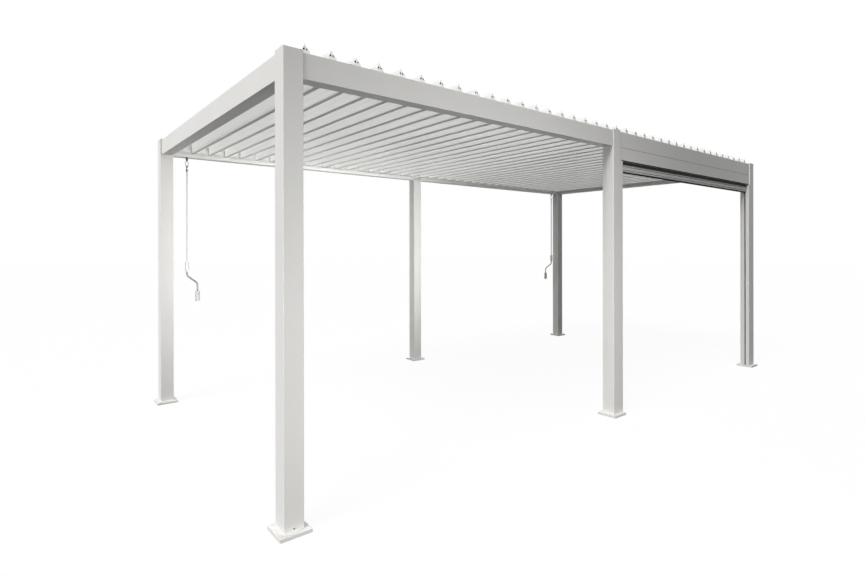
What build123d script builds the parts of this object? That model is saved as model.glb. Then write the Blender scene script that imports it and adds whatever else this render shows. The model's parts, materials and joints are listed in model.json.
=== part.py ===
from build123d import *
from math import cos, radians, sin
import os

# A free-standing louvred pergola of powder-coated aluminium, in millimetres. X runs along the long
# side, Y from front to back and Z up, from the middle of the ground under it.
os.makedirs("parts", exist_ok=True)

# Driving dimensions of the frame
length = 6000.0
depth = 3000.0
post_height = 2476.0
post_width = 110.0
post_wall = 3.0
post_corner = 4.0
cap_thickness = 8.0

# Beams: a box with a rain gutter on its inner side
beam_drop = 2.0
beam_height = 136.0
beam_setback = 10.0
beam_box_width = 35.0
beam_wall = 2.5
gutter_width = 55.0
gutter_wall_height = 33.0

# Foot plates
foot_size = 172.0
foot_thickness = 20.0
foot_chamfer = 2.0
drain_width = 7.0
drain_height = 10.0
drain_rise = 13.0

# Louvres: how they are spaced, the tilt they are drawn at and their pins
louvre_count = 38
louvre_end_margin = 134.0
louvre_pivot_drop = 12.0
louvre_tilt = 84.0
louvre_pin_diameter = 8.0
louvre_pin_sides = 8
louvre_end_gap = 5.0

# The blade's section as it lies when flat, from its pivot: a thick left edge, a flat belly, a thin
# lip on the right that laps over the next blade's thick edge, and a crowned top with a step down
louvre_half_width = 79.0
louvre_edge_top = -5.0
louvre_edge_thickness = 28.0
louvre_step_width = 36.0
louvre_crown_start = -5.0
louvre_crown_rise = 14.0
louvre_belly_drop = 4.0
louvre_belly_reach = 44.0
louvre_lip_root = 70.0
louvre_lip_width = 10.0
louvre_lip_drop = 10.0
louvre_lip_thickness = 3.5

# Bearing strips with open seats that the louvre pins drop into
strip_thickness = 6.0
strip_height = 26.0
pin_clearance = 0.05

# Crank drives: a gearbox in the gutter, its boss through the gutter's floor and an eye under it
crank_inset = 238.0
gearbox_length = 64.0
gearbox_width = 44.0
gearbox_height = 28.0
gearbox_corner = 6.0
boss_diameter = 20.0
boss_length = 26.0
boss_clearance = 0.5
eye_width = 32.0
eye_height = 64.0
eye_neck = 9.0
eye_bar = 7.0

# Crank handles that hang in the eyes
crank_rod_diameter = 13.0
crank_rod_sides = 12
crank_hook_diameter = 8.0
crank_hook_sides = 8
crank_hook_play = 3.0
crank_hook_tip = 12.0
crank_hook_neck = 40.0
crank_length = 1304.0
crank_neck = 40.0
crank_arm_offset = 94.0
crank_arm_drop = 76.0
crank_bend = 18.0
crank_grip_length = 98.0
upper_grip_diameter = 36.0
lower_grip_diameter = 42.0
grip_chamfer = 3.0
crank_turns = {"left": 0.0, "right": 141.0}

# Roller blind in the right front bay
cassette_height = 118.0
cassette_depth = 90.0
cassette_wall = 2.5
cassette_slot = 36.0
roll_diameter = 50.0
guide_width = 30.0
guide_depth = 80.0
guide_slot = 12.0
blind_gap = 25.0
bar_height = 59.0
bar_depth = 30.0
bar_corner = 4.0
bar_groove_width = 4.0
bar_groove_depth = 2.0
bar_groove_drops = (15.0, 45.0)
seal_height = 14.0
seal_depth = 6.0
guide_clearance = 0.5
screen_thickness = 0.8
blind_line = 45.0
seat_gap = 0.3

# Places worked out from the sizes above
beam_top = post_height - beam_drop
beam_bottom = beam_top - beam_height
louvre_pivot_height = beam_top - louvre_pivot_drop
bay_left = (post_width, length / 2 - post_width / 2)
bay_right = (length / 2 + post_width / 2, length - post_width)
gutter_start = beam_setback + beam_box_width
gutter_end = gutter_start + gutter_width
louvre_pitch = (length - 2 * louvre_end_margin) / (louvre_count - 1)
louvre_start = gutter_start + strip_thickness + louvre_end_gap
louvre_length = depth - 2 * louvre_start
post_columns = {"left": 0.0, "middle": length / 2 - post_width / 2, "right": length - post_width}
post_rows = {"front": 0.0, "back": depth - post_width}


def place(part):
    """Moves a part from the corner frame, in which sizes are simplest, to the middle of the base."""
    return part.moved(Location((-length / 2, -depth / 2, 0)))


def write(part, name):
    """Labels a finished part and writes it as one STEP file."""
    placed = place(part)
    placed.label = name
    export_step(placed, f"parts/{name}.step")


def post(column, row):
    """A square tube, notched at the top where gutters and louvres pass over it."""
    x = post_columns[column]
    y = post_rows[row]
    centre = (x + post_width / 2, y + post_width / 2)
    inner = post_width - 2 * post_wall
    with BuildPart() as tube:
        with BuildSketch(Plane.XY.offset(foot_thickness)):
            with Locations(centre):
                RectangleRounded(post_width, post_width, post_corner)
                Rectangle(inner, inner, mode=Mode.SUBTRACT)
        extrude(amount=post_height - foot_thickness)
        notch_height = post_height - beam_bottom - beam_wall
        with BuildSketch(Plane.XY.offset(beam_bottom + beam_wall)):
            add(notch_outline(column, row, x, y, beam_wall))
        extrude(amount=notch_height)
        with BuildSketch(Plane.XY.offset(beam_bottom + beam_wall)):
            add(notch_outline(column, row, x, y, 0.0))
        extrude(amount=notch_height + 1, mode=Mode.SUBTRACT)
        face_y = y if row == "front" else y + post_width
        drain_plane = Plane(origin=(centre[0], face_y, foot_thickness + drain_rise), z_dir=(0, 1, 0))
        with BuildSketch(drain_plane):
            Rectangle(drain_width, drain_height)
        extrude(amount=1.5 * post_wall, both=True, mode=Mode.SUBTRACT)
    return tube.part


def notch_outline(column, row, x, y, wall):
    """The plan of a post's notch, grown by a wall so that it can also make the notch's lining."""
    start = gutter_start - wall
    x_low = {"left": start, "middle": 0.0, "right": 0.0}[column]
    x_high = {"left": post_width, "middle": post_width, "right": post_width - start}[column]
    y_low = start if row == "front" else 0.0
    y_high = post_width if row == "front" else post_width - start
    with BuildSketch(mode=Mode.PRIVATE) as outline:
        with Locations((x + (x_low + x_high) / 2, y + (y_low + y_high) / 2)):
            Rectangle(x_high - x_low, y_high - y_low)
    return outline.sketch


def post_cap(column, row):
    """A cap over what is left of a post's top outside its notch."""
    x = post_columns[column]
    y = post_rows[row]
    with BuildPart() as cap:
        with BuildSketch(Plane.XY.offset(post_height)):
            with Locations((x + post_width / 2, y + post_width / 2)):
                RectangleRounded(post_width, post_width, post_corner)
            add(notch_outline(column, row, x, y, 0.0), mode=Mode.SUBTRACT)
        extrude(amount=cap_thickness)
    return cap.part


def foot_plate(column, row):
    """The square plate that a post stands on."""
    x = post_columns[column] + post_width / 2
    y = post_rows[row] + post_width / 2
    with BuildPart() as plate:
        with BuildSketch():
            with Locations((x, y)):
                Rectangle(foot_size, foot_size)
        extrude(amount=foot_thickness)
        chamfer(plate.faces().sort_by(Axis.Z)[-1].edges(), foot_chamfer)
    return plate.part


def beam_section():
    """The beam's section, with its outer face at beam_setback and its gutter on the inner side."""
    with BuildSketch(mode=Mode.PRIVATE) as section:
        with BuildLine():
            Polyline(
                (beam_setback, beam_bottom),
                (gutter_end, beam_bottom),
                (gutter_end, beam_bottom + gutter_wall_height),
                (gutter_end - beam_wall, beam_bottom + gutter_wall_height),
                (gutter_end - beam_wall, beam_bottom + beam_wall),
                (gutter_start, beam_bottom + beam_wall),
                (gutter_start, beam_top),
                (beam_setback, beam_top),
                close=True,
            )
        make_face()
        middle = (beam_setback + beam_box_width / 2, beam_top - beam_height / 2)
        with Locations(middle):
            Rectangle(beam_box_width - 2 * beam_wall, beam_height - 2 * beam_wall, mode=Mode.SUBTRACT)
    return section.sketch


def beam(plane, run):
    """A beam extruded along its plane's normal, over a run."""
    with BuildPart() as profile:
        with BuildSketch(plane):
            add(beam_section())
        extrude(amount=run)
    return profile.part


front_plane = Plane(origin=(bay_left[0], 0, 0), x_dir=(0, 1, 0), z_dir=(1, 0, 0))
bay_length = bay_left[1] - bay_left[0]
side_length = depth - 2 * post_width
front_beam = beam(front_plane, bay_length)
side_plane = Plane(origin=(0, depth - post_width, 0), x_dir=(1, 0, 0), z_dir=(0, -1, 0))
side_beam = beam(side_plane, side_length)
next_bay = Location((bay_right[0] - bay_left[0], 0, 0))
middle_y = Plane(origin=(0, depth / 2, 0), z_dir=(0, 1, 0))
middle_x = Plane(origin=(length / 2, 0, 0), z_dir=(1, 0, 0))

with BuildPart() as front_beams:
    add(front_beam)
    add(front_beam.moved(next_bay))
write(front_beams.part, "front_beams")

gutter_line = (gutter_start + gutter_end) / 2
crank_y = depth - gutter_line
crank_places = {"left": crank_inset, "right": length - crank_inset}

with BuildPart() as back_beams:
    add(front_beams.part.mirror(middle_y))
    with BuildSketch(Plane.XY.offset(beam_bottom)):
        with Locations([(x, crank_y) for x in crank_places.values()]):
            Circle(boss_diameter / 2 + boss_clearance)
    extrude(amount=beam_wall, mode=Mode.SUBTRACT)
write(back_beams.part, "back_beams")

with BuildPart() as side_beams:
    add(side_beam)
    add(side_beam.mirror(middle_x))
write(side_beams.part, "side_beams")

for row in post_rows:
    for column in post_columns:
        write(post(column, row), f"post_{row}_{column}")

with BuildPart() as post_caps:
    for row in post_rows:
        for column in post_columns:
            add(post_cap(column, row))
write(post_caps.part, "post_caps")

with BuildPart() as foot_plates:
    for row in post_rows:
        for column in post_columns:
            add(foot_plate(column, row))
write(foot_plates.part, "foot_plates")


def pivot_x(index):
    """The X place of a louvre's pivot, counted from zero at the left."""
    return louvre_end_margin + index * louvre_pitch


def bearing_strip(bay):
    """A strip on the front beam's box wall, with an open seat for each louvre pin of its bay."""
    pivots = [pivot_x(index) for index in range(louvre_count) if bay[0] < pivot_x(index) < bay[1]]
    seat_width = louvre_pin_diameter + 2 * pin_clearance
    with BuildPart() as strip:
        wall = Plane(origin=(0, gutter_start, 0), x_dir=(1, 0, 0), z_dir=(0, -1, 0))
        with BuildSketch(wall):
            with Locations(((bay[0] + bay[1]) / 2, louvre_pivot_height)):
                Rectangle(bay[1] - bay[0], strip_height)
            with Locations([(x, louvre_pivot_height - seat_width / 2) for x in pivots]):
                Rectangle(seat_width, strip_height, align=(Align.CENTER, Align.MIN), mode=Mode.SUBTRACT)
        extrude(amount=-strip_thickness)
    return strip.part


with BuildPart() as front_strips:
    add(bearing_strip(bay_left))
    add(bearing_strip(bay_right))
with BuildPart() as bearing_strips:
    add(front_strips.part)
    add(front_strips.part.mirror(middle_y))
write(bearing_strips.part, "bearing_strips")

left_edge = -louvre_half_width
step_foot = left_edge + louvre_step_width
crown = louvre_edge_top + louvre_crown_rise
belly = louvre_edge_top - louvre_edge_thickness - louvre_belly_drop
lip_end = louvre_lip_root + louvre_lip_width
lip_bottom = crown - louvre_lip_drop
lip_top = lip_bottom + louvre_lip_thickness
crown_middle = (lip_end + louvre_crown_start) / 2
pivot_plane = Plane(
    origin=(0, louvre_start, 0),
    x_dir=(cos(radians(louvre_tilt)), 0, sin(radians(louvre_tilt))),
    z_dir=(0, -1, 0),
)
pin_length = louvre_end_gap + strip_thickness - seat_gap

with BuildPart() as blade:
    with BuildSketch(pivot_plane):
        with BuildLine():
            Polyline(
                (step_foot, louvre_edge_top),
                (left_edge, louvre_edge_top),
                (left_edge, louvre_edge_top - louvre_edge_thickness),
                (louvre_belly_reach, belly),
                (louvre_lip_root, lip_bottom - louvre_lip_thickness),
                (lip_end, lip_bottom),
                (lip_end, lip_top),
            )
            ThreePointArc((lip_end, lip_top), (crown_middle, crown), (louvre_crown_start, lip_top))
            Line((louvre_crown_start, lip_top), (step_foot, louvre_edge_top))
        make_face()
    extrude(amount=-louvre_length)
    front_end = Plane(origin=(0, louvre_start, 0), z_dir=(0, -1, 0))
    back_end = Plane(origin=(0, louvre_start + louvre_length, 0), z_dir=(0, 1, 0))
    for end in (front_end, back_end):
        with BuildSketch(end):
            RegularPolygon(louvre_pin_diameter / 2, louvre_pin_sides)
        extrude(amount=pin_length)

for index in range(louvre_count):
    pivot = Location((pivot_x(index), 0, louvre_pivot_height))
    write(blade.part.moved(pivot), f"louvre_{index + 1:02d}")

# Crank drives, in the back beams' gutters near the end posts
gutter_floor = beam_bottom + beam_wall
boss_bottom = beam_bottom - boss_length
eye_bottom = boss_bottom - eye_height
ring_height = eye_height - eye_neck
hook_radius = (eye_bar + crank_hook_diameter) / 2 + crank_hook_play
hook_inner_radius = hook_radius - crank_hook_diameter / 2
hook_rise = (hook_inner_radius**2 - (eye_bar / 2) ** 2) ** 0.5
hook_centre = eye_bottom + eye_bar + seat_gap - hook_rise
crank_bottom = eye_bottom - crank_length
lower_grip_top = crank_bottom + crank_grip_length
arm_bottom = lower_grip_top + crank_arm_drop
arm_top = arm_bottom + crank_arm_drop
upper_grip_bottom = arm_top + crank_neck
rod_top = eye_bottom - crank_hook_neck


def gearbox(x):
    """A small worm gearbox on the gutter's floor, with the boss that comes out under the beam."""
    with BuildPart() as housing:
        with BuildSketch(Plane.XY.offset(gutter_floor)):
            with Locations((x, crank_y)):
                Rectangle(gearbox_length, gearbox_width)
        extrude(amount=gearbox_height)
        chamfer(housing.edges().filter_by(Axis.Z), gearbox_corner)
        with BuildSketch(Plane.XY.offset(gutter_floor)):
            with Locations((x, crank_y)):
                Circle(boss_diameter / 2)
        extrude(amount=boss_bottom - gutter_floor)
    return housing.part


def eye():
    """The oval eye on the gearbox's output shaft, in the plane of X and Z, with its neck."""
    middle = eye_bottom + ring_height / 2
    with BuildPart() as ring:
        with BuildSketch(Plane.XZ.offset(-eye_bar / 2)):
            with Locations((0, middle)):
                SlotOverall(ring_height, eye_width, rotation=90)
                SlotOverall(ring_height - 2 * eye_bar, eye_width - 2 * eye_bar, 90, mode=Mode.SUBTRACT)
            with Locations((0, eye_bottom + ring_height)):
                Rectangle(eye_bar, 2 * (eye_neck - seat_gap))
        extrude(amount=eye_bar)
    return ring.part


def crank():
    """A crank's rod with its bent arm, and the wire hook at its top that holds the eye, about Z."""
    with BuildPart() as rod:
        with BuildLine():
            FilletPolyline(
                (0, 0, rod_top),
                (0, 0, arm_top),
                (crank_arm_offset, 0, arm_bottom),
                (crank_arm_offset, 0, crank_bottom + crank_hook_diameter),
                radius=crank_bend,
            )
        with BuildSketch(Plane.XY.offset(rod_top)):
            RegularPolygon(crank_rod_diameter / 2, crank_rod_sides)
        sweep()
    with BuildPart() as hook:
        with BuildLine():
            FilletPolyline(
                (0, 0, rod_top),
                (0, 0, rod_top + crank_hook_tip),
                (0, hook_radius, rod_top + crank_hook_tip + hook_radius),
                (0, hook_radius, hook_centre + hook_radius),
                (0, -hook_radius, hook_centre + hook_radius),
                (0, -hook_radius, hook_centre - crank_hook_tip),
                radius=hook_radius - seat_gap,
            )
        with BuildSketch(Plane.XY.offset(rod_top)):
            RegularPolygon(crank_hook_diameter / 2, crank_hook_sides)
        sweep()
    with BuildPart() as whole:
        add(rod.part)
        add(hook.part)
    return whole.part


def grip(x, bottom, diameter):
    """A sleeve on the crank's rod, with a bore that follows the rod's flats."""
    bore = crank_rod_diameter / 2 + pin_clearance
    with BuildPart() as sleeve:
        with BuildSketch(Plane.XY.offset(bottom)):
            with Locations((x, 0)):
                Circle(diameter / 2)
                RegularPolygon(bore, crank_rod_sides, major_radius=False, mode=Mode.SUBTRACT)
        extrude(amount=crank_grip_length)
        chamfer(sleeve.faces().sort_by(Axis.Z)[0].outer_wire().edges(), grip_chamfer)
        chamfer(sleeve.faces().sort_by(Axis.Z)[-1].outer_wire().edges(), grip_chamfer)
    return sleeve.part


with BuildPart() as gearboxes:
    for x in crank_places.values():
        add(gearbox(x))
write(gearboxes.part, "crank_gearboxes")

for side, turn in crank_turns.items():
    at = Location((crank_places[side], crank_y, 0), (0, 0, turn))
    with BuildPart() as crank_rod:
        add(eye().moved(at))
        add(crank().moved(at))
    write(crank_rod.part, f"crank_rod_{side}")
    with BuildPart() as crank_grips:
        add(grip(0, upper_grip_bottom, upper_grip_diameter).moved(at))
        add(grip(crank_arm_offset, crank_bottom, lower_grip_diameter).moved(at))
    write(crank_grips.part, f"crank_grips_{side}")

# Roller blind in the right front bay: cassette, guides and bottom bar
cassette_bottom = beam_bottom - cassette_height
with BuildPart() as cassette:
    face = Plane(origin=(bay_right[0], 0, 0), x_dir=(0, 1, 0), z_dir=(1, 0, 0))
    with BuildSketch(face):
        inner_depth = cassette_depth - 2 * cassette_wall
        inner_height = cassette_height - 2 * cassette_wall
        with Locations((beam_setback + cassette_depth / 2, beam_bottom - cassette_height / 2)):
            Rectangle(cassette_depth, cassette_height)
            Rectangle(inner_depth, inner_height, mode=Mode.SUBTRACT)
        with Locations((blind_line, cassette_bottom)):
            Rectangle(cassette_slot, 3 * cassette_wall, mode=Mode.SUBTRACT)
    extrude(amount=bay_length)
write(cassette.part, "blind_cassette")

with BuildPart() as guides:
    for x, opening in ((bay_right[0], 1), (bay_right[1] - guide_width, -1)):
        with BuildSketch(Plane.XY.offset(foot_thickness)):
            with Locations((x + guide_width / 2, guide_depth / 2)):
                Rectangle(guide_width, guide_depth)
            with Locations((x + guide_width / 2 + opening * guide_width / 4, blind_line)):
                Rectangle(guide_width / 2, guide_slot, mode=Mode.SUBTRACT)
        extrude(amount=cassette_bottom - foot_thickness)
write(guides.part, "blind_guides")

# The screen is rolled up, with a short strip showing above the bottom bar
bar_top = cassette_bottom - blind_gap
bar_bottom = bar_top - bar_height
roll_y = blind_line + roll_diameter / 2 - screen_thickness / 2
roll_z = beam_bottom - cassette_height / 2
screen_start = bay_right[0] + guide_width + guide_clearance
screen_width = bay_length - 2 * (guide_width + guide_clearance)
screen_face = Plane(origin=(screen_start, 0, 0), x_dir=(0, 1, 0), z_dir=(1, 0, 0))
with BuildPart() as screen:
    with BuildSketch(screen_face):
        with Locations((roll_y, roll_z)):
            Circle(roll_diameter / 2)
        with Locations((blind_line, (roll_z + bar_top) / 2)):
            Rectangle(screen_thickness, roll_z - bar_top)
    extrude(amount=screen_width)
write(screen.part, "blind_screen")

# The bottom bar has two grooves along each face and a sealing lip under it
with BuildPart() as bar:
    with BuildSketch(screen_face):
        with Locations((blind_line, bar_top - bar_height / 2)):
            RectangleRounded(bar_depth, bar_height, bar_corner)
        for drop in bar_groove_drops:
            for y in (blind_line - bar_depth / 2, blind_line + bar_depth / 2):
                with Locations((y, bar_top - drop)):
                    Rectangle(2 * bar_groove_depth, bar_groove_width, mode=Mode.SUBTRACT)
        with Locations((blind_line, bar_bottom)):
            Rectangle(seal_depth, 2 * seal_height)
    extrude(amount=screen_width)
write(bar.part, "blind_bottom_bar")
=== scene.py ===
import json
import math

import bpy
import numpy as np
from mathutils import Matrix, Vector


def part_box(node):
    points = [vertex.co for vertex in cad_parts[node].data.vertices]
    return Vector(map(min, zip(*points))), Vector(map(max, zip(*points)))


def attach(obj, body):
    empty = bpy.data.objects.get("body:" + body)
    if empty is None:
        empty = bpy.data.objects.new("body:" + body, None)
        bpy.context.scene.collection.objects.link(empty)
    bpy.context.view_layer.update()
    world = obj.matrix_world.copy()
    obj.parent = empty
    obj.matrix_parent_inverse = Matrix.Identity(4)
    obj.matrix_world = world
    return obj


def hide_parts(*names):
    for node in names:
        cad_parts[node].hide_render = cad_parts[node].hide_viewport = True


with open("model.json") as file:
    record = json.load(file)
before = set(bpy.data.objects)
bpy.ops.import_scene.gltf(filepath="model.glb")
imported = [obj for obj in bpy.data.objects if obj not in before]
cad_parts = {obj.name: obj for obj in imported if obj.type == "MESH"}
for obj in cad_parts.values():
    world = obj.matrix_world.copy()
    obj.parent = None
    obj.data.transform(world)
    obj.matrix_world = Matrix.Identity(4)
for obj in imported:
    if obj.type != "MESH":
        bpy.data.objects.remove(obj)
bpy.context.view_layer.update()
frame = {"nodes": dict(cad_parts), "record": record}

# Louvred pergola, in metres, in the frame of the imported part: X along the long side, Y to the back
# and Z up, from the middle of the ground under it.
MM = 0.001
# Faces that meet at more than this many degrees keep a sharp edge between them
SHARP_ANGLE = 32

# The photograph's frame, and the camera that was fitted to the posts and beams in it. The place is
# given from the outer front-left corner of the post nearest the camera.
PHOTO_WIDTH, PHOTO_HEIGHT = 865, 577
FOCAL_PX = 518.0
CENTRE_PX = (438.4, 247.7)
CAMERA_FROM_CORNER = (-1.033, -2.511, 1.466)
CAMERA_YAW, CAMERA_PITCH, CAMERA_ROLL = 39.036, -0.061, -0.095
SENSOR_MM = 36.0

# The louvre blade's section in mm, from its pivot: across is towards the next blade when it lies
# flat, up is away from the ground. Each corner is (across, up, radius).
BLADE_TILT = 84.0
BLADE_CORNERS = np.array([
    (-43, -5, 8), (-79, -5, 2.5), (-79, -33, 3), (44, -37, 14), (70, -4.5, 8),
    (80, -1, 1.2), (80, 2.5, 1.5), (37.5, 15.8, 118), (-5, 2.5, 12),
])
CAP_DEPTH, CAP_ROUND = 3.0, 1.0
PIN_RADIUS, PIN_LENGTH, PIN_EDGE, PIN_SUNK = 4.0, 10.7, 0.7, 1.0
# Each cap screw is (across, up, head radius)
CAP_SCREWS = ((51.9, 3.2, 5.2), (52.7, -13.9, 4.4), (-58.0, -19.0, 3.2))
SCREW_HEAD_HEIGHT = 1.6

# Crank handles, in mm and degrees: radii, heights above the ground, how far the lower grip stands
# off, and how deep the rod and the arm reach into the upper grip, and the hook's wire into the rod
CRANK_TURN = {"left": 0.0, "right": 141.0}
ROD_RADIUS, ARM_RADIUS, WIRE_RADIUS, EYE_RADIUS = 6.5, 8.0, 4.0, 3.5
ROD_TOP, ARM_TOP, ARM_BOTTOM, ARM_END = 2208.0, 1194.0, 1118.0, 952.0
ARM_OFFSET, ARM_BEND = 94.0, 40.0
EYE_BOTTOM, EYE_TOP, EYE_WIDTH, NECK_TOP, NECK_LENGTH = 2248.0, 2303.0, 32.0, 2311.7, 8.0
HOOK_CENTRE, HOOK_RADIUS, HOOK_TIP, WIRE_BEND = 2249.8, 10.5, 12.0, 6.0
UPPER_GRIP, LOWER_GRIP, GRIP_LENGTH, GRIP_ROUND = 1234.0, 944.0, 98.0, 4.5
UPPER_GRIP_RADIUS, LOWER_GRIP_RADIUS = 18.0, 21.0
ROD_REACH, ARM_REACH, WIRE_REACH = 20.0, 30.0, 8.0
# Two arcs that follow each other stay this far under the radius at which they would touch, and a
# grip's bore stays this far under the rod's radius
HOOK_EASE, EYE_EASE, GRIP_EASE = 0.3, 0.1, 0.5

# Roller blind, in mm: where the guides' brushes stand in the guide's width and on both sides of the
# screen, the bottom bar's grooves from its top, and the seal under it
BLIND_LINE = 45.0
BRUSH_START, BRUSH_END, BRUSH_GAP, BRUSH_SIDE, BRUSH_ROUND = 16.0, 29.0, 2.2, 6.0, 0.8
GUIDE_FOOT_GAP, GUIDE_HEAD_GAP = 4.0, 2.0
GROOVE_DROPS, GROOVE_WIDTH, GROOVE_DEPTH, GROOVE_ROUND = (15.0, 45.0), 4.0, 2.0, 0.6
BAR_ROUND, END_PLATE = 4.0, 2.0
SEAL_HEIGHT, SEAL_HALF, SEAL_SUNK, SEAL_ROUND, SEAL_ROOT = 14.0, 3.0, 1.0, 2.8, 0.5
# Black profile and strips: how far they are sunk in and stand proud, and the radius of their edges.
# The strips in the bar's grooves and in the joint over the cassette are painted shade.
GROOVE_SHADE_FRONT, GROOVE_SHADE_BACK, GROOVE_SHADE_HALF, TRIM_ROUND = 0.7, 2.6, 1.6, 0.3
JOINT_SHADE_BELOW, JOINT_SHADE_ABOVE, JOINT_SHADE_PROUD = 1.4, 0.8, 0.5
LIP_HEIGHT, LIP_PROUD, PROFILE_SUNK, PROFILE_SHORT = 9.0, 0.6, 2.0, 1.0

# Black strips where the beams' outer faces meet the posts, in mm: painted shade for the shadow line
# in the gap between beam and post. Only the middle posts stand nearer to the middle than
# MIDDLE_REACH, and only they have a beam on both sides.
BEAM_SHADE_WIDTH, BEAM_SHADE_PROUD, BEAM_SHADE_SUNK, BEAM_SHADE_SHORT = 2.0, 0.8, 1.0, 1.0
MIDDLE_REACH = 1000.0


def linear(code):
    """An sRGB hex colour as linear red, green, blue and alpha."""
    channels = [int(code[i:i + 2], 16) / 255 for i in (1, 3, 5)]
    return (*[c / 12.92 if c <= 0.04045 else ((c + 0.055) / 1.055) ** 2.4 for c in channels], 1.0)


def node(tree, kind, links=None, **settings):
    """Adds a shader node. Settings go to its attributes or named inputs, links to its inputs."""
    made = tree.nodes.new(kind)
    for key, value in settings.items():
        if hasattr(made, key):
            setattr(made, key, value)
        else:
            made.inputs[key.replace("_", " ")].default_value = value
    for name, source in (links or {}).items():
        tree.links.new(source, made.inputs[name])
    return made


def material(name, roughness, metallic=0.0, ior_level=0.5):
    """A new node material, with its Principled shader."""
    made = bpy.data.materials.new(name)
    made.use_nodes = True
    shader = made.node_tree.nodes["Principled BSDF"]
    shader.inputs["Roughness"].default_value = roughness
    shader.inputs["Metallic"].default_value = metallic
    shader.inputs["Specular IOR Level"].default_value = ior_level
    return made, made.node_tree, shader


def two_tone(tree, shader, where, light, dark, patch_mm):
    """Base colour that drifts between two near tones, in soft patches of the given size."""
    drift = node(tree, "ShaderNodeTexNoise", {"Vector": where},
                 Scale=1 / (patch_mm * MM), Detail=3.0)
    ramp = node(tree, "ShaderNodeValToRGB", {"Fac": drift.outputs["Fac"]})
    stops = ramp.color_ramp.elements
    stops[0].position, stops[1].position = 0.3, 0.7
    stops[0].color, stops[1].color = linear(dark), linear(light)
    tree.links.new(ramp.outputs["Color"], shader.inputs["Base Color"])


def grain(tree, shader, where, size_mm, depth_mm, strength, detail=2.0):
    """Surface relief from a noise of the given size and depth."""
    relief = node(tree, "ShaderNodeTexNoise", {"Vector": where},
                  Scale=1 / (size_mm * MM), Detail=detail)
    bump = node(tree, "ShaderNodeBump", {"Height": relief.outputs["Fac"]},
                Distance=depth_mm * MM, Strength=strength)
    tree.links.new(bump.outputs["Normal"], shader.inputs["Normal"])


def satin(tree, shader, where, low, high, patch_mm):
    """Roughness that wanders between two values over patches of the given size."""
    drift = node(tree, "ShaderNodeTexNoise", {"Vector": where},
                 Scale=1 / (patch_mm * MM), Detail=2.0)
    span = node(tree, "ShaderNodeMapRange", {"Value": drift.outputs["Fac"]},
                To_Min=low, To_Max=high)
    tree.links.new(span.outputs["Result"], shader.inputs["Roughness"])


def powder_coat(name, light, dark, low, high):
    """Powder-coated aluminium: a sprayed plastic skin baked on smooth extrusions. The eye sees an
    even pale colour that drifts very little, a soft sheen, and a fine orange peel in highlights."""
    made, tree, shader = material(name, low, ior_level=0.25)
    where = node(tree, "ShaderNodeTexCoord").outputs["Object"]
    two_tone(tree, shader, where, light, dark, 420)
    satin(tree, shader, where, low, high, 90)
    grain(tree, shader, where, 2.2, 0.03, 0.35)
    return made


def moulded_plastic(name, light, dark, low, high, size_mm):
    """Injection-moulded plastic: a matt tool finish, so light spreads evenly with no clear
    reflection."""
    made, tree, shader = material(name, low)
    where = node(tree, "ShaderNodeTexCoord").outputs["Object"]
    two_tone(tree, shader, where, light, dark, 60)
    satin(tree, shader, where, low, high, 25)
    grain(tree, shader, where, size_mm, 0.06, 0.4)
    return made


def drawn_steel(name, light, dark, roughness, metallic):
    """Drawn steel under a thin coat or plating: fine streaks along the bar and a brighter sheen."""
    made, tree, shader = material(name, roughness, metallic)
    where = node(tree, "ShaderNodeTexCoord").outputs["Object"]
    streaks = node(tree, "ShaderNodeMapping", {"Vector": where}, Scale=(1.0, 1.0, 0.04))
    streaks = streaks.outputs["Vector"]
    two_tone(tree, shader, streaks, light, dark, 5)
    satin(tree, shader, where, roughness * 0.85, roughness * 1.15, 12)
    grain(tree, shader, streaks, 1.2, 0.02, 0.3)
    return made


def cast_housing(name, light, dark):
    """Painted die casting: the pebbled skin of the mould shows through a thick semi-gloss paint."""
    made, tree, shader = material(name, 0.5)
    where = node(tree, "ShaderNodeTexCoord").outputs["Object"]
    two_tone(tree, shader, where, light, dark, 30)
    satin(tree, shader, where, 0.42, 0.58, 15)
    grain(tree, shader, where, 2.5, 0.18, 0.6, detail=4.0)
    return made


# The yarns were meant to be 1.6 mm apart, which is a guess, but they are drawn 10 mm apart: a wave
# texture at scale 1 turns by 20 radians in a metre, and the scale below takes that for 20 bands.
YARN_MM = 1.6
WAVE_RADIANS = 20


def woven_screen(name, warp, weft):
    """Coated screen cloth: round dark yarns in a plain weave, with a dull sheen."""
    made, tree, shader = material(name, 0.75)
    where = node(tree, "ShaderNodeTexCoord").outputs["Object"]
    scale = 1 / (YARN_MM * MM) / WAVE_RADIANS
    yarns = [node(tree, "ShaderNodeTexWave", {"Vector": where}, wave_type="BANDS",
                  bands_direction=axis, Scale=scale) for axis in ("X", "Z")]
    mesh = node(tree, "ShaderNodeMath", {0: yarns[0].outputs["Fac"], 1: yarns[1].outputs["Fac"]},
                operation="MULTIPLY")
    ramp = node(tree, "ShaderNodeValToRGB", {"Fac": mesh.outputs["Value"]})
    stops = ramp.color_ramp.elements
    stops[0].color, stops[1].color = linear(weft), linear(warp)
    tree.links.new(ramp.outputs["Color"], shader.inputs["Base Color"])
    bump = node(tree, "ShaderNodeBump", {"Height": mesh.outputs["Value"]},
                Distance=0.3 * MM, Strength=0.6)
    tree.links.new(bump.outputs["Normal"], shader.inputs["Normal"])
    return made


def rubber(name, light, dark, size_mm):
    """Extruded black sealing rubber: almost no reflection, a chalky bloom and a faint drag."""
    made, tree, shader = material(name, 0.8, ior_level=0.25)
    where = node(tree, "ShaderNodeTexCoord").outputs["Object"]
    two_tone(tree, shader, where, light, dark, 35)
    satin(tree, shader, where, 0.7, 0.9, 20)
    grain(tree, shader, where, size_mm, 0.1, 0.5)
    return made


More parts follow.
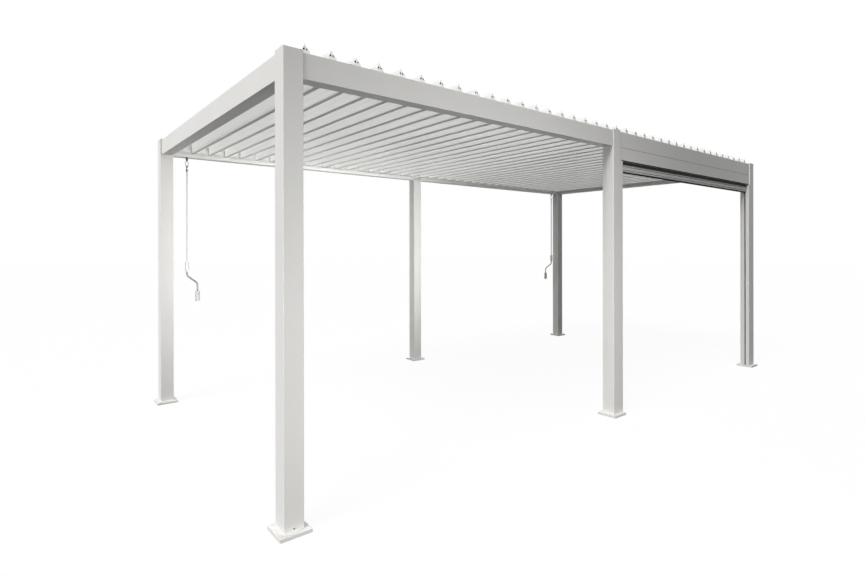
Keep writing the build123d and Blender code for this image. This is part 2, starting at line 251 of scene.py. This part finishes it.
frame_coat = powder_coat("powder_coated_frame", "#E7E6E3", "#E3E2DF", 0.42, 0.5)
blade_coat = powder_coat("powder_coated_blade", "#F5F5F3", "#F2F2F0", 0.44, 0.52)
cap_plastic = moulded_plastic("white_moulded_cap", "#FAFAF8", "#F6F6F4", 0.4, 0.5, 1.0)
strip_nylon = moulded_plastic("natural_moulded_nylon", "#EDECE8", "#E6E5E1", 0.5, 0.62, 1.2)
housing_paint = cast_housing("painted_die_casting", "#4A4A48", "#3C3C3B")
rod_coat = drawn_steel("grey_coated_steel_rod", "#E4E3E0", "#DBDAD7", 0.4, 0.0)
eye_plating = drawn_steel("zinc_plated_eye", "#D2D3D4", "#BFC0C2", 0.35, 0.7)
hook_finish = drawn_steel("blackened_steel_hook", "#3B3B3A", "#2C2C2B", 0.45, 0.4)
arm_steel = drawn_steel("bare_steel_crank_arm", "#858583", "#737371", 0.35, 0.7)
screw_steel = drawn_steel("stainless_screw", "#62625F", "#4E4E4C", 0.35, 0.8)
screw_black = drawn_steel("blackened_screw", "#242423", "#1A1A19", 0.5, 0.3)
white_grip = moulded_plastic("white_moulded_grip", "#EFEFEC", "#EAEAE7", 0.45, 0.55, 0.8)
grey_grip = moulded_plastic("grey_moulded_grip", "#D6D5D2", "#CDCCC9", 0.45, 0.55, 0.8)
screen_cloth = woven_screen("coated_screen_mesh", "#2A2A29", "#101010")
# This black is the rubber of the bar's seal and the guides' brushes, and it also paints shade in the
# beam joints, the cassette joint and the bar's grooves
rubber_and_shade_black = rubber("black_rubber_and_painted_shade", "#1C1C1B", "#121212", 1.5)


def dress(names, finish):
    """Gives the CAD nodes a finish in place of their plain one."""
    for name in names:
        for slot in frame["nodes"][name].material_slots:
            slot.material = finish


posts = [name for name in frame["nodes"] if name.startswith("post_")]
dress(posts + ["front_beams", "back_beams", "side_beams", "foot_plates"], frame_coat)
dress(["blind_cassette", "blind_guides"], frame_coat)
dress(["bearing_strips"], strip_nylon)
dress(["crank_gearboxes"], housing_paint)
dress(["blind_screen"], screen_cloth)


def curved_corners(corners, radii, steps, closed=True):
    """Points of a line whose corners are arcs. An arc touches both sides of its corner: its centre
    is on the bisector, at the radius over the sine of half the corner's angle, and its points turn
    evenly from one touching point to the other."""
    corners = np.asarray(corners, float)
    before, middle, after = corners[:-2], corners[1:-1], corners[2:]
    if closed:
        before, middle, after = np.roll(corners, 1, 0), corners, np.roll(corners, -1, 0)
    radii = np.broadcast_to(np.asarray(radii, float), len(middle))[:, None]
    back = before - middle
    ahead = after - middle
    back /= np.linalg.norm(back, axis=1, keepdims=True)
    ahead /= np.linalg.norm(ahead, axis=1, keepdims=True)
    half = np.arccos(np.clip((back * ahead).sum(1, keepdims=True), -1, 1)) / 2
    bisector = (back + ahead) / np.linalg.norm(back + ahead, axis=1, keepdims=True)
    centres = middle + bisector * radii / np.sin(half)
    start = middle + back * radii / np.tan(half) - centres
    end = middle + ahead * radii / np.tan(half) - centres
    turn = np.pi - 2 * half
    share = np.linspace(0, 1, steps)[None, :]
    first = np.sin((1 - share) * turn) / np.sin(turn)
    last = np.sin(share * turn) / np.sin(turn)
    arcs = centres[:, None] + first[..., None] * start[:, None] + last[..., None] * end[:, None]
    arcs = arcs.reshape(-1, corners.shape[1])
    return arcs if closed else np.vstack([corners[:1], arcs, corners[-1:]])


def shrunk(outline, distance):
    """A closed outline moved inwards: each point goes along the mean normal of its two sides."""
    along = np.roll(outline, -1, 0) - np.roll(outline, 1, 0)
    inward = np.stack([-along[:, 1], along[:, 0]], axis=1)
    return outline + distance * inward / np.linalg.norm(inward, axis=1, keepdims=True)


def skin(rings, finish, loop=False):
    """A closed shell over rings of points: quads join each point to the next on its ring and on the
    next ring. A loop joins its last ring to its first, and otherwise a flat face shuts each end."""
    count, around = rings.shape[:2]
    index = np.arange(count * around).reshape(count, around)
    rows = index if loop else index[:-1]
    beyond = np.roll(index, -1, 0) if loop else index[1:]
    quads = np.stack([rows, np.roll(rows, -1, 1), np.roll(beyond, -1, 1), beyond], axis=-1)
    ends = [] if loop else [index[0][::-1], index[-1]]
    return rings.reshape(-1, 3), quads.reshape(-1, 4), ends, finish


def carried(outlines, stations, origin, across, up, finish):
    """A profile carried along a straight line: a point is the origin, in metres, plus its two
    coordinates along across and up and its station along their cross product, in millimetres."""
    across, up = np.asarray(across, float), np.asarray(up, float)
    outlines = np.broadcast_to(outlines, (len(stations), *np.shape(outlines)[-2:]))
    rings = outlines[..., :1] * across + outlines[..., 1:] * up
    rings = rings + np.asarray(stations, float)[:, None, None] * np.cross(across, up)
    return skin(rings * MM + np.asarray(origin, float), finish)


def turned(profile, origin, axis, finish, sides):
    """A surface of revolution: each point of the profile, (radius, height) in mm, goes round the
    axis in a circle of that radius at that height."""
    axis = np.asarray(axis, float)
    first = np.cross((0.0, 0.0, 1.0), axis) if abs(axis[2]) < 0.9 else np.array((1.0, 0.0, 0.0))
    second = np.cross(axis, first)
    angles = np.linspace(0, 2 * np.pi, sides, endpoint=False)[None, :, None]
    profile = np.asarray(profile, float)
    rings = profile[:, :1, None] * (np.cos(angles) * first + np.sin(angles) * second)
    rings = rings + profile[:, 1:, None] * axis
    return skin(rings * MM + np.asarray(origin, float), finish)


def bent_bar(path, side, radius, finish, sides, loop=False):
    """A round bar along a flat bent line. Each ring is square to the line's direction there, in the
    plane of the side vector, which stands on the line's plane, and the vector square to both."""
    side = np.asarray(side, float)
    along = np.roll(path, -1, 0) - np.roll(path, 1, 0) if loop else np.gradient(path, axis=0)
    along /= np.linalg.norm(along, axis=1, keepdims=True)
    square = np.cross(side, along)[:, None]
    angles = np.linspace(0, 2 * np.pi, sides, endpoint=False)[None, :, None]
    rings = path[:, None] + radius * (np.cos(angles) * square + np.sin(angles) * side)
    return skin(rings * MM, finish, loop)


def piece(name, body, shells, stands_for=()):
    """One object from closed shells, each with its own finish, that rides on a body. Faces shade
    smoothly into each other unless they meet at more than the sharp angle."""
    starts = np.cumsum([0] + [len(points) for points, *_ in shells[:-1]])
    faces, owners, finishes = [], [], []
    for start, (points, quads, ends, finish) in zip(starts, shells):
        if finish not in finishes:
            finishes.append(finish)
        faces += (quads + start).tolist() + [(end + start).tolist() for end in ends]
        owners += [finishes.index(finish)] * (len(quads) + len(ends))
    mesh = bpy.data.meshes.new(name)
    mesh.from_pydata(np.concatenate([points for points, *_ in shells]).tolist(), [], faces)
    for finish in finishes:
        mesh.materials.append(finish)
    mesh.polygons.foreach_set("material_index", owners)
    mesh.shade_smooth()
    mesh.set_sharp_from_angle(angle=math.radians(SHARP_ANGLE))
    made = bpy.data.objects.new(name, mesh)
    bpy.context.scene.collection.objects.link(made)
    if stands_for:
        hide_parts(*stands_for)
    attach(made, body)


def screw_head(origin, axis, radius, finish):
    """A pan-head screw: a low dome with a round recess in its middle, turned about its axis."""
    height = SCREW_HEAD_HEIGHT
    profile = [(radius, 0), (radius, 0.5 * height), (0.85 * radius, 0.9 * height),
               (0.45 * radius, height), (0.42 * radius, 0.4 * height),
               (0.1 * radius, 0.35 * height)]
    return turned(profile, origin, axis, finish, sides=14)


def straight_bar(outline, start, end, finish):
    """A profile in (Y, Z) carried along X from start to end, all in mm."""
    return carried(outline, (start, end), (0, 0, 0), (0, 1, 0), (0, 0, 1), finish)


def upright_bar(outline, start, end, finish):
    """A profile in (X, Y) carried up Z from start to end, all in mm."""
    return carried(outline, (start, end), (0, 0, 0), (1, 0, 0), (0, 1, 0), finish)


def rounded_box(low, high, radii, steps):
    """The outline of a rectangle from its lowest to its highest corner, with rounded corners."""
    corners = [(low[0], low[1]), (high[0], low[1]), (high[0], high[1]), (low[0], high[1])]
    return curved_corners(corners, radii, steps)


# Louvre blades: the smooth section carried from end cap to end cap, with the caps' screws and pins
blade_outline = curved_corners(BLADE_CORNERS[:, :2], BLADE_CORNERS[:, 2], steps=7)
tilt = math.radians(BLADE_TILT)
across = np.array((math.cos(tilt), 0, math.sin(tilt)))
up = np.array((-math.sin(tilt), 0, math.cos(tilt)))
blade_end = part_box("louvre_01")[1][1] / MM - PIN_LENGTH
cap_outlines = np.stack([blade_outline, blade_outline, shrunk(blade_outline, CAP_ROUND)])
cap_stations = np.array([blade_end - CAP_DEPTH, blade_end - CAP_ROUND, blade_end])
body_ends = (-blade_end + CAP_DEPTH, blade_end - CAP_DEPTH)
pin_profile = [(PIN_RADIUS, -PIN_SUNK), (PIN_RADIUS, PIN_LENGTH - PIN_EDGE),
               (PIN_RADIUS - PIN_EDGE, PIN_LENGTH)]
screw_finishes = (screw_black, screw_steel, screw_steel)
joints = frame["record"]["behaviour"]["joints"]
pivots = {joint["child"]: np.array(joint["pos_m"]) for joint in joints}

for name in [name for name in frame["nodes"] if name.startswith("louvre_")]:
    pivot = np.array((pivots[name][0], 0, pivots[name][2]))
    shells = [carried(blade_outline, body_ends, pivot, across, up, blade_coat)]
    shells.append(carried(cap_outlines, cap_stations, pivot, across, up, cap_plastic))
    shells.append(carried(cap_outlines[::-1], -cap_stations[::-1], pivot, across, up, cap_plastic))
    for way in (1, -1):
        end = pivot + (0, way * blade_end * MM, 0)
        shells.append(turned(pin_profile, end, (0, way, 0), eye_plating, sides=16))
        for (u, v, radius), finish in zip(CAP_SCREWS, screw_finishes):
            shells.append(screw_head(end + (u * across + v * up) * MM, (0, way, 0), radius, finish))
    piece(name.replace("louvre", "blade"), name, shells, [name])

# Crank handles: round rod and bent arm, wire hook, plated eye and two moulded grips each. These
# lines and profiles are for a crank that hangs at X = Y = 0.
rod_line = np.array([(0, 0, ROD_TOP), (0, 0, UPPER_GRIP + ROD_REACH)])
arm_line = curved_corners(
    [(0, 0, UPPER_GRIP + ARM_REACH), (0, 0, ARM_TOP),
     (ARM_OFFSET, 0, ARM_BOTTOM), (ARM_OFFSET, 0, ARM_END)], ARM_BEND, steps=13, closed=False)
wire_line = curved_corners(
    [(0, 0, ROD_TOP - WIRE_REACH), (0, 0, ROD_TOP + HOOK_TIP),
     (0, HOOK_RADIUS, ROD_TOP + HOOK_TIP + HOOK_RADIUS),
     (0, HOOK_RADIUS, HOOK_CENTRE + HOOK_RADIUS), (0, -HOOK_RADIUS, HOOK_CENTRE + HOOK_RADIUS),
     (0, -HOOK_RADIUS, HOOK_CENTRE - HOOK_TIP)],
    (WIRE_BEND, WIRE_BEND, HOOK_RADIUS - HOOK_EASE, HOOK_RADIUS - HOOK_EASE),
    steps=9, closed=False)
eye_half = EYE_WIDTH / 2 - EYE_RADIUS
eye_line = curved_corners(
    [(eye_half, 0, EYE_BOTTOM + EYE_RADIUS), (eye_half, 0, EYE_TOP - EYE_RADIUS),
     (-eye_half, 0, EYE_TOP - EYE_RADIUS), (-eye_half, 0, EYE_BOTTOM + EYE_RADIUS)],
    eye_half - EYE_EASE, steps=9)
# The ferrule tapers from the rod to the wire, and the neck is a short collar over the eye
ferrule = [(ROD_RADIUS + 0.2, -6), (ROD_RADIUS + 0.6, -4), (ROD_RADIUS + 1.6, 12),
           (WIRE_RADIUS + 1.6, 16), (WIRE_RADIUS - 0.5, 17)]
neck = [(EYE_RADIUS + 3.0, 0), (EYE_RADIUS + 3.5, 1), (EYE_RADIUS + 3.5, NECK_LENGTH - 1),
        (EYE_RADIUS + 3.0, NECK_LENGTH)]
grip_bore = ROD_RADIUS - GRIP_EASE


def hung(shell, stand):
    """A shell of the crank turned and carried to where it hangs, by a 4 by 4 matrix."""
    points, *rest = shell
    return points @ stand[:3, :3].T + stand[:3, 3], *rest


for side_name, turn in CRANK_TURN.items():
    pivot = pivots[f"crank_{side_name}"]
    place = Matrix.Translation((pivot[0], pivot[1], 0))
    stand = np.array(place @ Matrix.Rotation(math.radians(turn), 4, "Z"))
    handle = (
        bent_bar(rod_line, (0, 1, 0), ROD_RADIUS, rod_coat, sides=24),
        bent_bar(arm_line, (0, 1, 0), ARM_RADIUS, arm_steel, sides=24),
        bent_bar(wire_line, (1, 0, 0), WIRE_RADIUS, hook_finish, sides=16),
        turned(ferrule, (0, 0, ROD_TOP * MM), (0, 0, 1), hook_finish, sides=24),
        bent_bar(eye_line, (0, 1, 0), EYE_RADIUS, eye_plating, sides=14, loop=True),
        turned(neck, (0, 0, (NECK_TOP - NECK_LENGTH) * MM), (0, 0, 1), hook_finish, sides=24),
    )
    piece(f"crank_{side_name}_handle", f"crank_{side_name}",
          [hung(shell, stand) for shell in handle], [f"crank_rod_{side_name}"])

    grips = []
    for offset, bottom, radius, finish in ((0, UPPER_GRIP, UPPER_GRIP_RADIUS, white_grip),
                                           (ARM_OFFSET, LOWER_GRIP, LOWER_GRIP_RADIUS, grey_grip)):
        profile = curved_corners(
            [(grip_bore, 0), (radius, 0), (radius, GRIP_LENGTH), (grip_bore, GRIP_LENGTH)],
            GRIP_ROUND, steps=8, closed=False)
        grip = turned(profile, (offset * MM, 0, bottom * MM), (0, 0, 1), finish, sides=40)
        grips.append(hung(grip, stand))
    piece(f"crank_{side_name}_handgrips", f"crank_{side_name}", grips,
          [f"crank_grips_{side_name}"])

# Roller blind: bottom bar with its grooves, end plates and rubber seal, brush seals in the guides,
# a black profile along the cassette's lower front edge, and black strips of painted shade in the
# joint over the cassette and in the bar's grooves
bar_low, bar_high = (np.array(v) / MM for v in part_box("blind_bottom_bar"))
foot = bar_low[2] + SEAL_HEIGHT
front, back, head = bar_low[1], bar_high[1], bar_high[2]
middle = (front + back) / 2
groove_steps = ((0, -GROOVE_WIDTH / 2), (GROOVE_DEPTH, -GROOVE_WIDTH / 2),
                (GROOVE_DEPTH, GROOVE_WIDTH / 2), (0, GROOVE_WIDTH / 2))
back_grooves = [(back - depth, head - drop + rise)
                for drop in GROOVE_DROPS[::-1] for depth, rise in groove_steps]
front_grooves = [(front + back - y, z) for y, z in back_grooves[::-1]]
bar_corners = [(front, foot), (back, foot), *back_grooves,
               (back, head), (front, head), *front_grooves]
side_radii = [BAR_ROUND] * 2 + [GROOVE_ROUND] * len(back_grooves)
bar_outline = curved_corners(bar_corners, side_radii * 2, steps=5)
end_outline = rounded_box((front, foot), (back, head), BAR_ROUND, steps=5)
seal_outline = rounded_box((middle - SEAL_HALF, bar_low[2]), (middle + SEAL_HALF, foot + SEAL_SUNK),
                           [SEAL_ROUND, SEAL_ROUND, SEAL_ROOT, SEAL_ROOT], steps=6)
bar_start, bar_end = bar_low[0] + END_PLATE, bar_high[0] - END_PLATE
piece("blind_bar", "frame", [
    straight_bar(bar_outline, bar_start, bar_end, frame_coat),
    straight_bar(end_outline, bar_low[0], bar_start, cap_plastic),
    straight_bar(end_outline, bar_end, bar_high[0], cap_plastic),
    straight_bar(seal_outline, bar_low[0], bar_high[0], rubber_and_shade_black),
], ["blind_bottom_bar"])

guide_low, guide_high = (np.array(v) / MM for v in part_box("blind_guides"))
line = guide_low[1] + BLIND_LINE
brush_foot, brush_head = guide_low[2] + GUIDE_FOOT_GAP, guide_high[2] - GUIDE_HEAD_GAP
brushes = []
for x0, x1 in ((guide_low[0] + BRUSH_START, guide_low[0] + BRUSH_END),
               (guide_high[0] - BRUSH_END, guide_high[0] - BRUSH_START)):
    for y0, y1 in ((line - BRUSH_SIDE, line - BRUSH_GAP), (line + BRUSH_GAP, line + BRUSH_SIDE)):
        outline = rounded_box((x0, y0), (x1, y1), BRUSH_ROUND, steps=4)
        brushes.append(upright_bar(outline, brush_foot, brush_head, rubber_and_shade_black))
piece("guide_brushes", "frame", brushes)

box_low, box_high = (np.array(v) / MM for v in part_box("blind_cassette"))
profile_start, profile_end = box_low[0] + PROFILE_SHORT, box_high[0] - PROFILE_SHORT
black_lip_and_shade_strips = []
# The first strip is painted shade for the seam line in the joint over the cassette, the second is
# the black lip along its lower front edge
for z0, z1, proud in ((box_high[2] - JOINT_SHADE_BELOW, box_high[2] + JOINT_SHADE_ABOVE, JOINT_SHADE_PROUD),
                      (box_low[2], box_low[2] + LIP_HEIGHT, LIP_PROUD)):
    outline = rounded_box((box_low[1] - proud, z0), (box_low[1] + PROFILE_SUNK, z1),
                          TRIM_ROUND, steps=3)
    black_lip_and_shade_strips.append(straight_bar(outline, profile_start, profile_end, rubber_and_shade_black))
# Black strips sunk in the bar's grooves are painted shade for the grooves
for drop in GROOVE_DROPS:
    for face, way in ((front, 1), (back, -1)):
        near, far = face + way * GROOVE_SHADE_FRONT, face + way * GROOVE_SHADE_BACK
        low, high = head - drop - GROOVE_SHADE_HALF, head - drop + GROOVE_SHADE_HALF
        corners = [(near, low), (far, low), (far, high), (near, high)][::way]
        outline = curved_corners(corners, TRIM_ROUND, steps=3)
        black_lip_and_shade_strips.append(straight_bar(outline, bar_start, bar_end, rubber_and_shade_black))
piece("blind_black_lip_and_painted_shade", "frame", black_lip_and_shade_strips)

# Black strips of painted shade for the shadow line where the beams' outer faces meet the posts: a
# middle post has one on each side, for the two long beams, and a corner post has one for the side
# beam
side_low, side_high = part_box("side_beams")
row_low, row_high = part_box("front_beams")[0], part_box("back_beams")[1]
side_faces = (side_low[0] / MM, side_high[0] / MM)
row_faces = (row_low[1] / MM, row_high[1] / MM)
shade_foot, shade_head = row_low[2] / MM, row_high[2] / MM - BEAM_SHADE_SHORT
beam_shade_strips = []
for name in [name for name in posts if name.count("_") == 2]:
    low, high = (np.array(v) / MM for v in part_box(name))
    at_back, at_right = bool(low[1] > 0), bool(low[0] > 0)
    if abs(low[0]) < MIDDLE_REACH:
        outward, face = (1 if at_back else -1), row_faces[at_back]
        spans = [(x, x + way * BEAM_SHADE_WIDTH,
                  face - outward * BEAM_SHADE_SUNK, face + outward * BEAM_SHADE_PROUD)
                 for x, way in ((low[0], -1), (high[0], 1))]
    else:
        outward, face = (1 if at_right else -1), side_faces[at_right]
        edge = low[1] if at_back else high[1]
        spans = [(face - outward * BEAM_SHADE_SUNK, face + outward * BEAM_SHADE_PROUD,
                  edge, edge - math.copysign(BEAM_SHADE_WIDTH, edge))]
    for x0, x1, y0, y1 in spans:
        (x0, x1), (y0, y1) = sorted((x0, x1)), sorted((y0, y1))
        outline = rounded_box((x0, y0), (x1, y1), TRIM_ROUND, steps=3)
        beam_shade_strips.append(upright_bar(outline, shade_foot, shade_head, rubber_and_shade_black))
piece("beam_end_painted_shade", "frame", beam_shade_strips)


def seen(tree):
    """1 for rays from the eye, from gloss and through clear things, 0 for all other light."""
    path = node(tree, "ShaderNodeLightPath")
    both = node(tree, "ShaderNodeMath", operation="MAXIMUM", links={
        0: path.outputs["Is Camera Ray"], 1: path.outputs["Is Glossy Ray"]})
    every = node(tree, "ShaderNodeMath", operation="MAXIMUM", links={
        0: both.outputs["Value"], 1: path.outputs["Is Transmission Ray"]})
    return every.outputs["Value"]


# Floor: white to the eye and in reflections, and dark for the light that it would throw back
FLOOR_HALF = 60
FLOOR_WHITE, FLOOR_BOUNCE, FLOOR_GLOW = "#FFFFFF", "#323231", 0.94
floor_mesh = bpy.data.meshes.new("floor")
floor_corners = [(-FLOOR_HALF, -FLOOR_HALF, 0), (FLOOR_HALF, -FLOOR_HALF, 0),
                 (FLOOR_HALF, FLOOR_HALF, 0), (-FLOOR_HALF, FLOOR_HALF, 0)]
floor_mesh.from_pydata(floor_corners, [], [(0, 1, 2, 3)])
floor = bpy.data.objects.new("floor", floor_mesh)
bpy.context.scene.collection.objects.link(floor)
floor_paint, floor_tree, floor_shader = material("pale_floor", 0.9, ior_level=0.0)
floor_seen = seen(floor_tree)
tone = node(floor_tree, "ShaderNodeMix", {"Factor": floor_seen}, data_type="RGBA")
tone.inputs[6].default_value = linear(FLOOR_BOUNCE)
tone.inputs[7].default_value = linear(FLOOR_WHITE)
floor_tree.links.new(tone.outputs[2], floor_shader.inputs["Base Color"])
glow = node(floor_tree, "ShaderNodeEmission", Color=(1, 1, 1, 1), Strength=1.0)
share = node(floor_tree, "ShaderNodeMath", {0: floor_seen}, operation="MULTIPLY")
share.inputs[1].default_value = FLOOR_GLOW
blend = node(floor_tree, "ShaderNodeMixShader", {
    0: share.outputs["Value"], 1: floor_shader.outputs["BSDF"], 2: glow.outputs["Emission"]})
floor_tree.links.new(blend.outputs["Shader"], floor_tree.nodes["Material Output"].inputs["Surface"])
floor_mesh.materials.append(floor_paint)

# World: white where it is seen, and an even soft light for everything else
WORLD_LIGHT = 0.22
world = bpy.data.worlds.new("studio")
bpy.context.scene.world = world
world.use_nodes = True
sky = world.node_tree
soft = sky.nodes["Background"]
soft.inputs["Color"].default_value = (1, 1, 1, 1)
soft.inputs["Strength"].default_value = WORLD_LIGHT
white = node(sky, "ShaderNodeBackground", Color=(1, 1, 1, 1), Strength=1.0)
mixed = node(sky, "ShaderNodeMixShader", {
    0: seen(sky), 1: soft.outputs["Background"], 2: white.outputs["Background"]})
sky.links.new(mixed.outputs["Shader"], sky.nodes["World Output"].inputs["Surface"])


def lamp(name, kind, place, aim, energy, **settings):
    """A lamp at a place, turned so that it shines towards its aim."""
    data = bpy.data.lights.new(name, kind)
    data.energy = energy
    for key, value in settings.items():
        setattr(data, key, value)
    made = bpy.data.objects.new(name, data)
    bpy.context.scene.collection.objects.link(made)
    back = (Vector(place) - Vector(aim)).normalized()
    turn = back.to_track_quat("Z", "Y").to_matrix().to_4x4()
    made.matrix_world = Matrix.Translation(place) @ turn
    made.visible_camera = False


# Two soft suns from the left, one high and one nearly level, give the main shading
lamp("high_key", "SUN", (-8, -2.3, 9.3), (0, 0, 0), 2.35, angle=math.radians(30))
lamp("low_key", "SUN", (-8, -0.4, 1.3), (0, 0, 0), 0.42, angle=math.radians(30))
# Area lamps near the ground lift the left end, the lower front, and the back row seen through the
# left bay
lamp("low_left_fill", "AREA", (-9.5, 0.2, 0.7), (-3.0, 0.2, 1.8), 95.0, size=1.8)
lamp("low_front_fill", "AREA", (-1.85, -6.5, 0.5), (-1.75, -1.5, 0.6), 36.0,
     size=2.2, spread=math.radians(62))
lamp("bay_fill", "AREA", (-1.2, -1.2, 0.9), (-1.3, 1.5, 1.5), 20.0,
     shape="RECTANGLE", size=2.4, size_y=1.0, spread=math.radians(75))
# A low sun from the back right lights the sides that the photograph doesn't show
lamp("back_fill", "SUN", (5, 7, 1.8), (0, 0, 0), 1.3, angle=math.radians(40))


def fitted_camera():
    """The camera of the photograph: level, turned to the right, and with its frame shifted."""
    post_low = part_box("post_front_left")[0]
    corner = (post_low[0], post_low[1], 0.0)
    yaw, pitch, roll = (math.radians(a) for a in (CAMERA_YAW, CAMERA_PITCH, CAMERA_ROLL))
    data = bpy.data.cameras.new("photo_camera")
    data.sensor_width = SENSOR_MM
    data.lens = FOCAL_PX / PHOTO_WIDTH * SENSOR_MM
    data.shift_x = (PHOTO_WIDTH / 2 - CENTRE_PX[0]) / PHOTO_WIDTH
    data.shift_y = (CENTRE_PX[1] - PHOTO_HEIGHT / 2) / PHOTO_WIDTH
    camera = bpy.data.objects.new("photo_camera", data)
    bpy.context.scene.collection.objects.link(camera)
    place = [a + b for a, b in zip(corner, CAMERA_FROM_CORNER)]
    turn = Matrix.Rotation(-yaw, 4, "Z") @ Matrix.Rotation(math.pi / 2 + pitch, 4, "X")
    camera.matrix_world = Matrix.Translation(place) @ turn @ Matrix.Rotation(roll, 4, "Z")
    bpy.context.scene.camera = camera


fitted_camera()
bpy.context.scene.view_settings.view_transform = "Standard"
